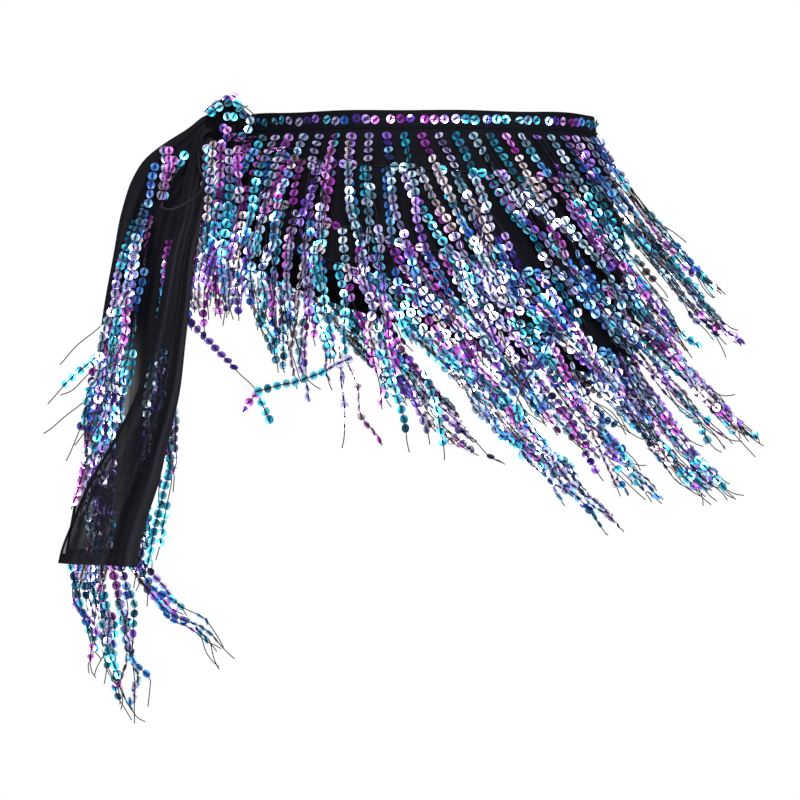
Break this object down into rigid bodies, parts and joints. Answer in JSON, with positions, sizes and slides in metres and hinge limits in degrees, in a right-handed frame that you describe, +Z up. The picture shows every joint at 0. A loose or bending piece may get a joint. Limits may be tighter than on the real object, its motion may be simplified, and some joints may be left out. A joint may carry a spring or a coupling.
{
  "type": "belly dance hip scarf",
  "caption": "Hip scarf of sheer black chiffon knotted at one hip, hung all round with rows of swinging sequin fringe, its two tie ends hanging from the knot.",
  "frame": {"origin": "middle of the ring that the waistband makes round the wearer's hips, halfway up the band", "axes": "+Z up, -Y the wearer's front, +X the wearer's left, towards which the fringe swings"},
  "size_m": [0.5379, 0.2891, 0.4732],
  "materials": {
    "chiffon": "sheer black polyester chiffon, soft sheen",
    "sequins_teal": "thin iridescent sequins, mostly teal and blue, on black thread",
    "sequins_violet": "thin iridescent sequins, mostly violet and magenta, on black thread",
    "sequins_silver": "thin iridescent sequins, mostly silver and lilac, on black thread"
  },
  "bodies": {
    "root": {"waistband": "chiffon", "hip_panel": "chiffon", "knot_core": "chiffon", "knot_wrap": "chiffon", "front_tail": "chiffon", "rear_tail": "chiffon", "fringe_row_1": "sequins_teal", "fringe_row_2": "sequins_violet", "fringe_row_3": "sequins_silver", "fringe_row_4": "sequins_teal", "rear_tail_fringe_outer": "sequins_teal", "rear_tail_fringe_inner": "sequins_violet", "rear_tail_fringe_end": "sequins_silver"}
  },
  "joints": []
}
